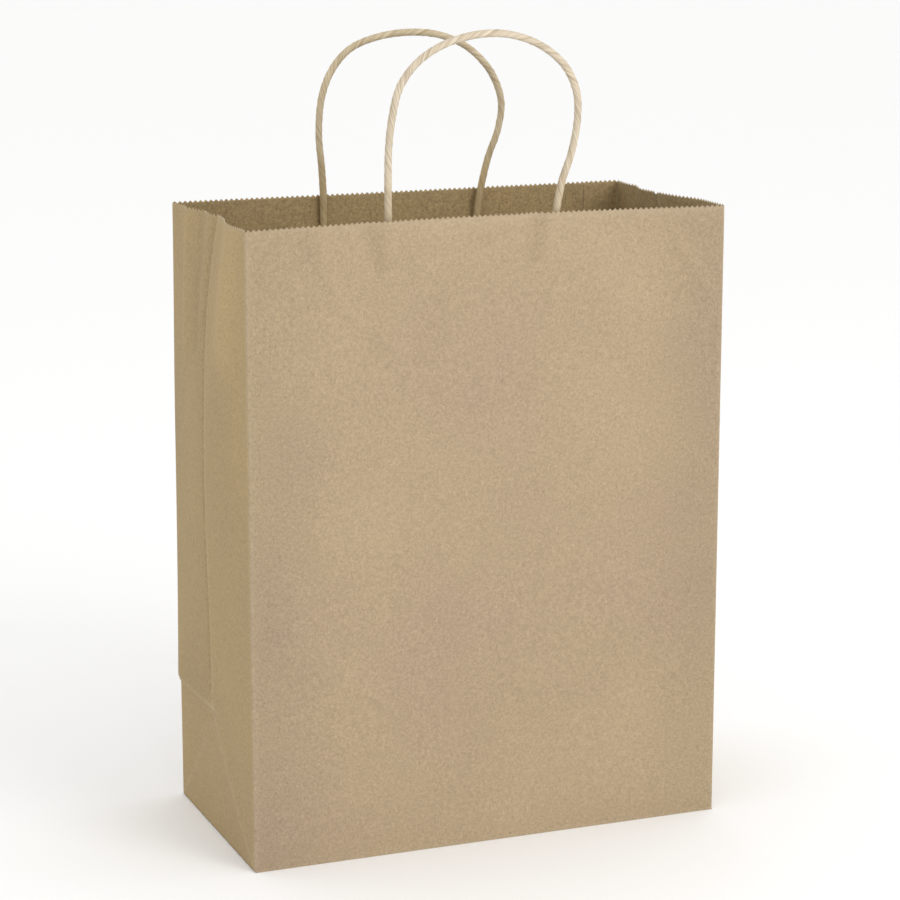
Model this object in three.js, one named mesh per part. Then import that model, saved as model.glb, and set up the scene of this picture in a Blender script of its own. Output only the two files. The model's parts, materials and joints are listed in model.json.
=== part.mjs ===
/**
 * Kraft paper gift bag with a block bottom and two twisted paper cord handles.
 *
 * Units are millimetres and +Z is up. The origin is the centre of the underside, the front panel
 * faces -Y and the back panel faces +Y. The bag stands open. Every panel that folds about its own
 * crease is a mesh of its own, and each crease line is a named value, so the pieces meet exactly
 * on the lines that they turn about.
 */
import * as THREE from 'three';

// ---------------------------------------------------------------- driving dimensions

// The open bag, measured between its crease lines.
const BAG_WIDTH = 254;
const BAG_DEPTH = 127;
const BAG_HEIGHT = 322;

// Paper, and the air that is left between two pieces that lie on each other.
const PAPER = 0.3;
const LAYER_GAP = 0.3;
const CREASE_GAP = 0.4;

// Saw-tooth cut round the mouth. The front half of the sheet is cut a little lower.
const TOOTH_PITCH = 2.8;
const TOOTH_DEPTH = 1.2;
const FRONT_CUT_DROP = 1.6;

// Glued seam inside the back panel, at its right-hand corner.
const SEAM_LAP_WIDTH = 20;

// Block bottom: four flaps glued over one another.
const FLAP_OVERLAP = 20;
const END_FLAP_REACH = 77;
const END_FLAP_MARGIN = 3.5;
const END_FLAP_CORNER_CUT = 5.5;
const SEAM_LAP_LIFT = 6.8;

// Handles: a twisted cord whose two ends are glued between the layers of a paper patch.
const CORD_DIAMETER = 4;
const CORD_SIDES = 10;
const CORD_STEPS = 44;
const LEG_SPACING = 87;
const FRONT_HANDLE_X = -9;
const REAR_HANDLE_X = -1.5;
const HANDLE_HINGE_RISE = 0.7;
const PATCH_WIDTH = 150;
const PATCH_HEIGHT = 42;
const PATCH_BELOW_MOUTH = 19;
const CORD_END_ABOVE_PATCH_EDGE = 4;
const CHANNEL_FOOT_WIDTH = 11;
const CHANNEL_TOP_WIDTH = 3.4;

// Centre line of each loop: X from the middle of its legs, then the height above the mouth.
const FRONT_LOOP = [
  [-43.5, 1.1], [-43.5, 5], [-43.8, 20.2], [-43.8, 35.3], [-42.5, 49.5], [-38.5, 65.7], [-30, 76.8],
  [-18.5, 84.3], [-4.5, 88.9], [11, 90.4], [25, 88.1], [38, 82.3], [48.5, 73.2],
  [54.5, 61.1], [55.5, 47.5], [53, 31.3], [48, 15.2], [43.6, 5], [43.5, 1.1],
];
const REAR_LOOP = [
  [-43.5, 1.1], [-43.5, 5], [-44.2, 13.7], [-45.5, 31.2], [-43.5, 50.7], [-37.5, 64.8], [-27.5, 75.1],
  [-12, 80.9], [6, 82.9], [21.5, 81.4], [35, 76.5], [45.5, 68.7], [53.5, 58.5],
  [58, 44.9], [56, 30.2], [50, 14.6], [43.6, 5], [43.5, 1.1],
];

// ---------------------------------------------------------------- values worked out from them

const HALF_WIDTH = BAG_WIDTH / 2;
const HALF_DEPTH = BAG_DEPTH / 2;

// The big panels stand one lap clear of the corner creases, so that the seam lap fits inside.
const PANEL_INNER_Y = HALF_DEPTH + PAPER + LAYER_GAP;
const PANEL_OUTER_Y = PANEL_INNER_Y + PAPER;

// Levels of the bottom, from the floor up.
const FRONT_FLAP_TOP = PAPER;
const REAR_FLAP_BASE = FRONT_FLAP_TOP + LAYER_GAP;
const REAR_FLAP_TOP = REAR_FLAP_BASE + PAPER;
const END_FLAP_BASE = REAR_FLAP_TOP + LAYER_GAP;

// The crease across the back, and the point on each side where the three side creases meet it.
const SIDE_BASE_Z = REAR_FLAP_TOP;
const FOLD_Z = SIDE_BASE_Z + HALF_DEPTH;

const BACK_MOUTH_Z = BAG_HEIGHT;
const FRONT_MOUTH_Z = BAG_HEIGHT - FRONT_CUT_DROP;
const CORD_RADIUS = CORD_DIAMETER / 2;

// Depths inside a big panel, counted inwards from its inner face.
const OUTER_LAYER_DEPTH = LAYER_GAP;
const CORD_SEAT_DEPTH = OUTER_LAYER_DEPTH + PAPER + LAYER_GAP;
const CORD_CENTRE_DEPTH = CORD_SEAT_DEPTH + CORD_RADIUS;
const CHANNEL_DEPTH = CORD_SEAT_DEPTH + CORD_DIAMETER + LAYER_GAP;

// ---------------------------------------------------------------- materials

const paperOutside = new THREE.MeshStandardMaterial({ color: 0xbda686, roughness: 0.9, metalness: 0 });
const paperSide = new THREE.MeshStandardMaterial({ color: 0xb39c78, roughness: 0.9, metalness: 0 });
const paperPatch = new THREE.MeshStandardMaterial({ color: 0xc4ab86, roughness: 0.92, metalness: 0 });
const cordPaper = new THREE.MeshStandardMaterial({ color: 0xdccbaa, roughness: 0.85, metalness: 0 });

// ---------------------------------------------------------------- sheet helpers

const X = new THREE.Vector3(1, 0, 0);
const Y = new THREE.Vector3(0, 1, 0);
const Z = new THREE.Vector3(0, 0, 1);

/** Local axes of a sheet: its outline's two directions, then the direction of its thickness. */
const PLANE = {
  acrossX: new THREE.Matrix4().makeBasis(Y, Z, X),
  acrossY: new THREE.Matrix4().makeBasis(X.clone().negate(), Z, Y),
  acrossZ: new THREE.Matrix4().makeBasis(X, Y, Z),
};

/** A named mesh turned into a plane and moved along that plane's thickness direction. */
function placed(name, geometry, material, basis, offset) {
  const mesh = new THREE.Mesh(geometry, material);
  mesh.name = name;
  mesh.setRotationFromMatrix(basis);
  mesh.position.copy(offset);
  return mesh;
}

/** Turns the outline so that it runs anticlockwise. */
function anticlockwise(outline) {
  const points = outline.map(([u, v]) => new THREE.Vector2(u, v));
  return THREE.ShapeUtils.isClockWise(points) ? points.reverse() : points;
}

/** A flat sheet: an outline, given as [u, v] pairs, with the paper's thickness. */
function sheetGeometry(outline, thickness = PAPER) {
  const shape = new THREE.Shape(anticlockwise(outline));
  return new THREE.ExtrudeGeometry(shape, { depth: thickness, bevelEnabled: false });
}

/** A sheet that faces left and right. The outline is in Y and Z. */
function sideSheet(name, outline, lowX, material = paperSide) {
  const offset = new THREE.Vector3(lowX, 0, 0);
  return placed(name, sheetGeometry(outline), material, PLANE.acrossX, offset);
}

/** A sheet that faces front and back. The outline is in X and Z. */
function faceSheet(name, outline, lowY, material = paperOutside) {
  const mirrored = outline.map(([x, z]) => [-x, z]);
  const offset = new THREE.Vector3(0, lowY, 0);
  return placed(name, sheetGeometry(mirrored), material, PLANE.acrossY, offset);
}

/** A sheet that lies flat. The outline is in X and Y. */
function floorSheet(name, outline, lowZ, material = paperOutside) {
  const offset = new THREE.Vector3(0, 0, lowZ);
  return placed(name, sheetGeometry(outline), material, PLANE.acrossZ, offset);
}

/**
 * Moves each edge of a convex anticlockwise outline inwards by its own margin.
 * Edge i runs from corner i to corner i + 1.
 */
function inset(corners, margins) {
  const count = corners.length;
  const lines = corners.map(([u, v], i) => {
    const [nextU, nextV] = corners[(i + 1) % count];
    const length = Math.hypot(nextU - u, nextV - v);
    const along = [(nextU - u) / length, (nextV - v) / length];
    const inward = [-along[1], along[0]];
    return { at: [u + inward[0] * margins[i], v + inward[1] * margins[i]], along };
  });
  return lines.map((line, i) => crossing(lines[(i + count - 1) % count], line));
}

/** The point where two lines meet. */
function crossing(a, b) {
  const cross = a.along[0] * b.along[1] - a.along[1] * b.along[0];
  const du = b.at[0] - a.at[0];
  const dv = b.at[1] - a.at[1];
  const distance = (du * b.along[1] - dv * b.along[0]) / cross;
  return [a.at[0] + a.along[0] * distance, a.at[1] + a.along[1] * distance];
}

/** Saw-tooth points from one end of a level edge to the other, with the tips at height z. */
function sawEdge(from, to, z) {
  const teeth = Math.max(1, Math.round(Math.abs(to - from) / TOOTH_PITCH));
  const pitch = (to - from) / teeth;
  const points = [];
  for (let i = 0; i < teeth; i += 1) {
    points.push([from + i * pitch, z - TOOTH_DEPTH]);
    points.push([from + (i + 0.5) * pitch, z]);
  }
  points.push([to, z - TOOTH_DEPTH]);
  return points;
}

// ---------------------------------------------------------------- front and back

/** The front panel, one flat sheet from the bottom crease to the mouth. */
function frontPanel() {
  const edge = HALF_WIDTH - CREASE_GAP / 2;
  const base = FRONT_FLAP_TOP + LAYER_GAP;
  const outline = [[-edge, base], ...sawEdge(-edge, edge, FRONT_MOUTH_Z), [edge, base]];
  return faceSheet('front_panel', outline, -PANEL_OUTER_Y);
}

/** The back panel above the crease that folds the bottom up. */
function backPanel() {
  const edge = HALF_WIDTH - CREASE_GAP / 2;
  const base = FOLD_Z + CREASE_GAP / 2;
  const outline = [[-edge, base], ...sawEdge(-edge, edge, BACK_MOUTH_Z), [edge, base]];
  return faceSheet('back_panel', outline, PANEL_INNER_Y);
}

/** The strip of the back panel between that crease and the bottom. */
function backPanelLower() {
  const edge = HALF_WIDTH - CREASE_GAP / 2;
  const base = REAR_FLAP_TOP + LAYER_GAP;
  const top = FOLD_Z - CREASE_GAP / 2;
  const outline = [[-edge, base], [edge, base], [edge, top], [-edge, top]];
  return faceSheet('back_panel_lower', outline, PANEL_INNER_Y);
}

/** The glued seam: the sheet's end, lapped inside the back panel at the right-hand corner. */
function seamLap() {
  const outer = HALF_WIDTH - CREASE_GAP / 2;
  const inner = HALF_WIDTH - SEAM_LAP_WIDTH;
  const base = FOLD_Z + CREASE_GAP / 2;
  const outline = [[inner, base], ...sawEdge(inner, outer, BACK_MOUTH_Z), [outer, base]];
  return faceSheet('seam_lap', outline, HALF_DEPTH);
}

/** The seam below the crease. It ends above the bottom flaps, which fold up against it. */
function seamLapLower() {
  const outer = HALF_WIDTH - CREASE_GAP / 2;
  const inner = HALF_WIDTH - SEAM_LAP_WIDTH;
  const base = SIDE_BASE_Z + SEAM_LAP_LIFT;
  const top = FOLD_Z - CREASE_GAP / 2;
  const outline = [[inner, base], [outer, base], [outer, top], [inner, top]];
  return faceSheet('seam_lap_lower', outline, HALF_DEPTH);
}

// ---------------------------------------------------------------- gussets

/** The low X of a gusset sheet: it lies just outside the bag's width. */
function gussetLowX(side) {
  return side < 0 ? -HALF_WIDTH - PAPER : HALF_WIDTH;
}

/** Replaces the top edge of a gusset outline, between its last two corners, by saw teeth. */
function withSawTop(corners, z) {
  const [high, low] = corners.slice(2);
  return [corners[0], corners[1], ...sawEdge(high[0], low[0], z)];
}

/** Rear half of a gusset, above the crease, from the back corner to the centre crease. */
function gussetRear(name, side) {
  const corners = [[0, FOLD_Z], [HALF_DEPTH, FOLD_Z], [HALF_DEPTH, BACK_MOUTH_Z], [0, BACK_MOUTH_Z]];
  const margins = [CREASE_GAP / 2, CREASE_GAP / 2, 0, CREASE_GAP / 2];
  return sideSheet(name, withSawTop(inset(corners, margins), BACK_MOUTH_Z), gussetLowX(side));
}

/** Front half of a gusset. It reaches the floor at the front and stops at the slanting crease. */
function gussetFront(name, side) {
  const corners = [
    [-HALF_DEPTH, SIDE_BASE_Z], [0, FOLD_Z], [0, FRONT_MOUTH_Z], [-HALF_DEPTH, FRONT_MOUTH_Z],
  ];
  const margins = [CREASE_GAP / 2, CREASE_GAP / 2, 0, CREASE_GAP / 2];
  return sideSheet(name, withSawTop(inset(corners, margins), FRONT_MOUTH_Z), gussetLowX(side));
}

/** Triangle of a gusset that stands on the side edge of the bottom. */
function bottomTriangle(name, side) {
  const corners = [[-HALF_DEPTH, SIDE_BASE_Z], [HALF_DEPTH, SIDE_BASE_Z], [0, FOLD_Z]];
  const margins = [LAYER_GAP, CREASE_GAP / 2, CREASE_GAP / 2];
  return sideSheet(name, inset(corners, margins), gussetLowX(side));
}

/** Triangle of a gusset that hangs on the side edge of the lower back panel. */
function rearTriangle(name, side) {
  const corners = [[HALF_DEPTH, SIDE_BASE_Z], [HALF_DEPTH, FOLD_Z], [0, FOLD_Z]];
  const margins = [CREASE_GAP / 2, CREASE_GAP / 2, CREASE_GAP / 2];
  return sideSheet(name, inset(corners, margins), gussetLowX(side));
}

// ---------------------------------------------------------------- bottom

/** A long bottom flap: full width at its crease, its ends cut back at 45 degrees. */
function longFlap(name, side, lowZ) {
  const creaseY = side * PANEL_OUTER_Y;
  const freeY = -side * (FLAP_OVERLAP / 2);
  const wide = HALF_WIDTH + PAPER;
  const narrow = wide - Math.abs(creaseY - freeY);
  const outline = [[-wide, creaseY], [wide, creaseY], [narrow, freeY], [-narrow, freeY]];
  return floorSheet(name, outline, lowZ);
}

/** An end flap, glued inside the two long flaps, with the corners at its crease cut off. */
function endFlap(name, side) {
  const outer = side * (HALF_WIDTH - LAYER_GAP);
  const shoulder = outer - side * END_FLAP_CORNER_CUT;
  const inner = side * (HALF_WIDTH - END_FLAP_REACH);
  const y = PANEL_INNER_Y - END_FLAP_MARGIN;
  const cutY = y - END_FLAP_CORNER_CUT;
  const outline = [[outer, -cutY], [shoulder, -y], [inner, -y], [inner, y], [shoulder, y], [outer, cutY]];
  return floorSheet(name, outline, END_FLAP_BASE, paperSide);
}

// ---------------------------------------------------------------- handles

/** Everything that differs between the front handle and the rear handle. */
const FRONT = { name: 'front', side: -1, x: FRONT_HANDLE_X, mouthZ: FRONT_MOUTH_Z, loop: FRONT_LOOP };
const REAR = { name: 'rear', side: 1, x: REAR_HANDLE_X, mouthZ: BACK_MOUTH_Z, loop: REAR_LOOP };

/** Y of a depth that is counted inwards from the inner face of a handle's panel. */
function depthY(handle, depth) {
  return handle.side * (PANEL_INNER_Y - depth);
}

/** The free loop of a handle, from the mouth over to the mouth. */
function handleLoop(handle) {
  const y = depthY(handle, CORD_CENTRE_DEPTH);
  const points = handle.loop.map(([x, rise]) => new THREE.Vector3(handle.x + x, y, handle.mouthZ + rise));
  const path = new THREE.CatmullRomCurve3(points, false, 'centripetal');
  const section = new THREE.Shape();
  for (let i = 0; i < CORD_SIDES; i += 1) {
    const angle = (2 * Math.PI * i) / CORD_SIDES;
    const point = [CORD_RADIUS * Math.cos(angle), CORD_RADIUS * Math.sin(angle)];
    if (i === 0) section.moveTo(...point);
    else section.lineTo(...point);
  }
  section.closePath();
  const geometry = new THREE.ExtrudeGeometry(section, { steps: CORD_STEPS, extrudePath: path });
  const mesh = new THREE.Mesh(geometry, cordPaper);
  mesh.name = `${handle.name}_handle_loop`;
  return mesh;
}

/** One straight end of a handle, from inside the patch up to the mouth. */
function handleEnd(handle, sideName, x) {
  const patchBase = handle.mouthZ - PATCH_BELOW_MOUTH - PATCH_HEIGHT;
  const low = patchBase + CORD_END_ABOVE_PATCH_EDGE;
  const high = handle.mouthZ + HANDLE_HINGE_RISE - LAYER_GAP;
  const geometry = new THREE.CylinderGeometry(CORD_RADIUS, CORD_RADIUS, high - low, CORD_SIDES);
  const mesh = new THREE.Mesh(geometry, cordPaper);
  mesh.name = `${handle.name}_handle_end_${sideName}`;
  mesh.rotation.x = Math.PI / 2;
  mesh.position.set(handle.x + x, depthY(handle, CORD_CENTRE_DEPTH), (low + high) / 2);
  return mesh;
}

/** The flat layer of the patch, glued to the panel. */
function patchOuter(handle) {
  const low = handle.mouthZ - PATCH_BELOW_MOUTH - PATCH_HEIGHT;
  const high = handle.mouthZ - PATCH_BELOW_MOUTH;
  const left = handle.x - PATCH_WIDTH / 2;
  const right = handle.x + PATCH_WIDTH / 2;
  const outline = [[left, low], [right, low], [right, high], [left, high]];
  const nearDepth = handle.side < 0 ? OUTER_LAYER_DEPTH : OUTER_LAYER_DEPTH + PAPER;
  return faceSheet(`${handle.name}_patch_outer`, outline, depthY(handle, nearDepth), paperPatch);
}

/** The layer of the patch that faces the inside. It rises in a channel over each cord end. */
function patchInner(handle) {
  const near = [];
  const step = (x, depth) => near.push([handle.x + x, depth]);
  step(-PATCH_WIDTH / 2, CORD_SEAT_DEPTH);
  for (const leg of [-LEG_SPACING / 2, LEG_SPACING / 2]) {
    step(leg - CHANNEL_FOOT_WIDTH / 2, CORD_SEAT_DEPTH);
    step(leg - CHANNEL_TOP_WIDTH / 2, CHANNEL_DEPTH);
    step(leg + CHANNEL_TOP_WIDTH / 2, CHANNEL_DEPTH);
    step(leg + CHANNEL_FOOT_WIDTH / 2, CORD_SEAT_DEPTH);
  }
  step(PATCH_WIDTH / 2, CORD_SEAT_DEPTH);
  const far = near.map(([x, depth]) => [x, depth + PAPER]).reverse();
  const outline = [...near, ...far].map(([x, depth]) => [x, depthY(handle, depth)]);
  const geometry = sheetGeometry(outline, PATCH_HEIGHT);
  const offset = new THREE.Vector3(0, 0, handle.mouthZ - PATCH_BELOW_MOUTH - PATCH_HEIGHT);
  return placed(`${handle.name}_patch_inner`, geometry, paperPatch, PLANE.acrossZ, offset);
}

/** Both ends, both patch layers and the loop of one handle. */
function handleAssembly(handle) {
  const assembly = new THREE.Group();
  assembly.add(
    handleLoop(handle),
    handleEnd(handle, 'left', -LEG_SPACING / 2),
    handleEnd(handle, 'right', LEG_SPACING / 2),
    patchOuter(handle),
    patchInner(handle),
  );
  return assembly;
}

// ---------------------------------------------------------------- the bag

const gussets = new THREE.Group();
for (const [sideName, side] of [['left', -1], ['right', 1]]) {
  gussets.add(
    gussetRear(`${sideName}_gusset_rear`, side),
    gussetFront(`${sideName}_gusset_front`, side),
    bottomTriangle(`${sideName}_bottom_triangle`, side),
    rearTriangle(`${sideName}_rear_triangle`, side),
  );
}

const bottom = new THREE.Group();
bottom.add(
  longFlap('bottom_front_flap', -1, 0),
  longFlap('bottom_rear_flap', 1, REAR_FLAP_BASE),
  endFlap('bottom_end_flap_left', -1),
  endFlap('bottom_end_flap_right', 1),
);

const group = new THREE.Group();
group.add(frontPanel(), backPanel(), backPanelLower(), seamLap(), seamLapLower());
group.add(gussets, bottom, handleAssembly(FRONT), handleAssembly(REAR));

export default group;
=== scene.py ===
"""Kraft paper gift bag with a block bottom and two twisted paper cord handles.

Every sheet is a surface worked out on a grid and given the paper's thickness. The front sheet, the
patches, the flaps and the triangles at the foot are put on the body that they move with. Lengths are
metres, +Z is up, the front panel faces -Y.
"""
import json
import logging
import math
from dataclasses import dataclass
from enum import Enum

import bpy
import numpy as np
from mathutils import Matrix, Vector


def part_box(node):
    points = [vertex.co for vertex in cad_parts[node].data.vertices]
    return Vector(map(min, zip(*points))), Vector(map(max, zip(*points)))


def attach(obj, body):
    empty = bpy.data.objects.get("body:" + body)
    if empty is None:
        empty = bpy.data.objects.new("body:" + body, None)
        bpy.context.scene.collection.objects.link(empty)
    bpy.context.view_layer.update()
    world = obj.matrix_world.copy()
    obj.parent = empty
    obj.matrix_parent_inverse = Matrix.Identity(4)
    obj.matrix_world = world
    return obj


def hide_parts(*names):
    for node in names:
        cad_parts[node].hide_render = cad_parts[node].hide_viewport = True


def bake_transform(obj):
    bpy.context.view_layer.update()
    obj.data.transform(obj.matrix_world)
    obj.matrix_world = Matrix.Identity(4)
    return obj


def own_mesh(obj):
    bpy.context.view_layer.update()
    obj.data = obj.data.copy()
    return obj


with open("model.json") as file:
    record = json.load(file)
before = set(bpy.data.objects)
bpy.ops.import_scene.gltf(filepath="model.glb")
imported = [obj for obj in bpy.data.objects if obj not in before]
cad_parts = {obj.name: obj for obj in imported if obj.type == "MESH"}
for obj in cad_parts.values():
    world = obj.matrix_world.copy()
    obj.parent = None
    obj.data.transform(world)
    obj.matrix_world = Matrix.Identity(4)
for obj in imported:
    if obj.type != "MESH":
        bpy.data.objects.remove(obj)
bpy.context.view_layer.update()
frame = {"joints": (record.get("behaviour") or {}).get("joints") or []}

log = logging.getLogger("gift_bag")

MM = 0.001
TOP_ROW = 0.9999  # A sheet's saw teeth are cut where the share of its height is above this.

Grid = np.ndarray
Socket = bpy.types.NodeSocket
Material = bpy.types.Material
Piece = bpy.types.Object
Colour = tuple[float, float, float]
Skins = tuple[Material, Material, Material]


class Face(Enum):
    """The two big faces of the bag, by the sign of their Y."""

    FRONT = -1
    BACK = 1

    @property
    def word(self) -> str:
        """The face's word in the names of its handle, patches and flap."""
        return "front" if self is Face.FRONT else "rear"


class Side(Enum):
    """The two gusseted sides of the bag, by the sign of their X."""

    LEFT = -1
    RIGHT = 1


class Slot(Enum):
    """Material slots of the record."""

    PANEL = "panel_paper"
    SIDE = "side_paper"
    PATCH = "patch_paper"
    CORD = "cord_paper"


# ------------------------------------------------------------------ helpers


def smoothstep(value: Grid, low: float, high: float) -> Grid:
    """Rises from 0 at low to 1 at high along 3t^2 - 2t^3.

    Args:
        value: Where to evaluate it.
        low: Where it leaves 0.
        high: Where it reaches 1.

    Returns:
        The share, from 0 to 1.
    """
    t = np.clip((value - low) / (high - low), 0.0, 1.0)
    return t * t * (3.0 - 2.0 * t)


def fading(distance: Grid, length: float) -> Grid:
    """Falls from 1 as an exponential of the distance over the length. It is 1 below a distance of 0."""
    return np.exp(-np.maximum(distance, 0.0) / length)


def bell(distance: Grid, width: float) -> Grid:
    """A bell curve: exp(-(distance / width)^2)."""
    return np.exp(-((distance / width) ** 2))


def ripple(u: Grid, v: Grid, seed: int, wave: float) -> Grid:
    """A soft irregular swell: the sum of six sine waves of seeded direction, length and phase.

    Args:
        u: First coordinate, in metres.
        v: Second coordinate, in metres.
        seed: Picks the set of waves.
        wave: The typical wavelength, in metres.

    Returns:
        Heights of about -1 to 1.
    """
    rng = np.random.default_rng(seed)
    total = np.zeros(np.broadcast(u, v).shape)
    for angle, stretch, phase in zip(
        rng.uniform(0, math.pi, 6), rng.uniform(0.6, 1.7, 6), rng.uniform(0, 2 * math.pi, 6)
    ):
        k = 2 * math.pi / (wave * stretch)
        total += np.sin(k * (u * math.cos(angle) + v * math.sin(angle)) + phase)
    return total / 3.0


def distances(points: Grid) -> Grid:
    """Distance along the polyline to each of its points, in metres."""
    return np.concatenate([[0.0], np.cumsum(np.linalg.norm(np.diff(points, axis=0), axis=1))])


def catmull_rom(points: Grid, spacing: float) -> Grid:
    """A smooth curve through the points: a centripetal Catmull-Rom spline, resampled evenly.

    Args:
        points: The points that it passes through, one per row.
        spacing: Distance between the samples, in metres.

    Returns:
        The samples, one per row, the first and the last on the end points.
    """
    padded = np.vstack([2 * points[0] - points[1], points, 2 * points[-1] - points[-2]])
    knots = np.concatenate([[0.0], np.cumsum(np.sqrt(np.linalg.norm(np.diff(padded, axis=0), axis=1)))])
    pieces = []
    for i in range(1, len(padded) - 2):
        p0, p1, p2, p3 = padded[i - 1 : i + 3]
        t0, t1, t2, t3 = knots[i - 1 : i + 3]
        t = np.linspace(t1, t2, 24, endpoint=False)[:, None]
        a1 = (t1 - t) / (t1 - t0) * p0 + (t - t0) / (t1 - t0) * p1
        a2 = (t2 - t) / (t2 - t1) * p1 + (t - t1) / (t2 - t1) * p2
        a3 = (t3 - t) / (t3 - t2) * p2 + (t - t2) / (t3 - t2) * p3
        b1 = (t2 - t) / (t2 - t0) * a1 + (t - t0) / (t2 - t0) * a2
        b2 = (t3 - t) / (t3 - t1) * a2 + (t - t1) / (t3 - t1) * a3
        pieces.append((t2 - t) / (t2 - t1) * b1 + (t - t1) / (t2 - t1) * b2)
    dense = np.vstack(pieces + [points[-1:]])
    along = distances(dense)
    even = np.linspace(0.0, along[-1], max(2, round(along[-1] / spacing)) + 1)
    return np.stack([np.interp(even, along, dense[:, k]) for k in range(3)], axis=1)


def path_length(points: Grid) -> float:
    """Length of the polyline through the points, in metres."""
    return float(np.linalg.norm(np.diff(points, axis=0), axis=1).sum())


def placed(name: str, data: bpy.types.ID) -> Piece:
    """Puts an object with this data into the scene, at the origin."""
    obj = bpy.data.objects.new(name, data)
    bpy.context.scene.collection.objects.link(obj)
    return obj


def store(mesh: bpy.types.Mesh, label: str, values: Grid) -> None:
    """Stores one value for each point of the mesh."""
    mesh.attributes.new(label, "FLOAT", "POINT").data.foreach_set("value", values.ravel().astype(np.float32))


# ------------------------------------------------------------------ finishes


class Nodes:
    """Short words for building one material's nodes."""

    def __init__(self, name: str) -> None:
        """Makes the material, with an empty Principled shader.

        Args:
            name: The material's name.
        """
        self.material = bpy.data.materials.new(name)
        self.material.use_nodes = True
        self.tree = self.material.node_tree
        self.shader = self.tree.nodes["Principled BSDF"]
        self.where = self.tree.nodes.new("ShaderNodeTexCoord")

    def link(self, source: Socket, target: Socket) -> None:
        """Joins an output to an input."""
        self.tree.links.new(source, target)

    def feed(self, source: Socket, name: str) -> None:
        """Joins an output to the shader's input of that name."""
        self.link(source, self.shader.inputs[name])

    def gloss(self, roughness: float, specular: float) -> None:
        """Sets the shader's plain roughness and specular level."""
        self.shader.inputs["Roughness"].default_value = roughness
        self.shader.inputs["Specular IOR Level"].default_value = specular

    def add(self, kind: str, output: str, inputs: dict[str, object]) -> Socket:
        """Adds a node, and gives each of the inputs its value or the output that feeds it.

        Args:
            kind: The node's type.
            output: Which output is wanted.
            inputs: Values and outputs, by the names of the inputs.

        Returns:
            The output.
        """
        node = self.tree.nodes.new(f"ShaderNode{kind}")
        for name, value in inputs.items():
            if isinstance(value, Socket):
                self.link(value, node.inputs[name])
            else:
                node.inputs[name].default_value = value
        return node.outputs[output]

    def spaced(self, stretch: tuple[float, float, float], source: str = "Object") -> Socket:
        """Texture coordinates stretched by their own factor along each axis."""
        return self.add("Mapping", "Vector", {"Vector": self.where.outputs[source], "Scale": stretch})

    def noise(self, at: Socket, scale: float, detail: float = 3.0, rough: float = 0.55) -> Socket:
        """Fractal noise from 0 to 1: features per metre, octaves, and how strong the fine octaves are."""
        kind = {"Scale": scale, "Detail": detail, "Roughness": rough}
        return self.add("TexNoise", "Fac", {"Vector": at, **kind})

    def attribute(self, name: str) -> Socket:
        """A value stored on the mesh's points."""
        node = self.tree.nodes.new("ShaderNodeAttribute")
        node.attribute_name = name
        return node.outputs["Fac"]

    def remap(self, value: Socket, low: float, high: float, to_low: float, to_high: float) -> Socket:
        """Carries the range low to high onto another range, and stops at its ends."""
        ends = {"From Min": low, "From Max": high, "To Min": to_low, "To Max": to_high}
        return self.add("MapRange", "Result", {"Value": value, **ends})

    def combine(self, operation: str, *values: Socket) -> Socket:
        """Chains one arithmetic operation through the values.

        Args:
            operation: ADD, MULTIPLY and so on.
            values: Two or more values.

        Returns:
            The result.
        """
        result = values[0]
        for value in values[1:]:
            node = self.tree.nodes.new("ShaderNodeMath")
            node.operation = operation
            self.link(result, node.inputs[0])
            self.link(value, node.inputs[1])
            result = node.outputs["Value"]
        return result

    def mixed(self, share: Socket, first: object, second: object) -> Socket:
        """Mixes two colours.

        Args:
            share: How much of the second colour, from 0 to 1.
            first: A colour, or an output that gives one.
            second: A colour, or an output that gives one.

        Returns:
            The mixed colour.
        """
        node = self.tree.nodes.new("ShaderNodeMix")
        node.data_type = "RGBA"
        self.link(share, node.inputs["Factor"])
        for socket, colour in ((node.inputs[6], first), (node.inputs[7], second)):
            if isinstance(colour, tuple):
                socket.default_value = (*colour, 1.0)
            else:
                self.link(colour, socket)
        return node.outputs[2]

    def brightened(self, colour: Socket, factor: Socket) -> Socket:
        """Multiplies a colour by a factor, about 1, that varies over the surface."""
        return self.add("HueSaturation", "Color", {"Color": colour, "Value": factor})

    def bumped(self, height: Socket, distance: float, below: Socket | None = None) -> Socket:
        """Turns a height, of this distance where it is 1, into a normal laid over the one below."""
        over = {} if below is None else {"Normal": below}
        return self.add("Bump", "Normal", {"Height": height, "Distance": distance, **over})


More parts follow.
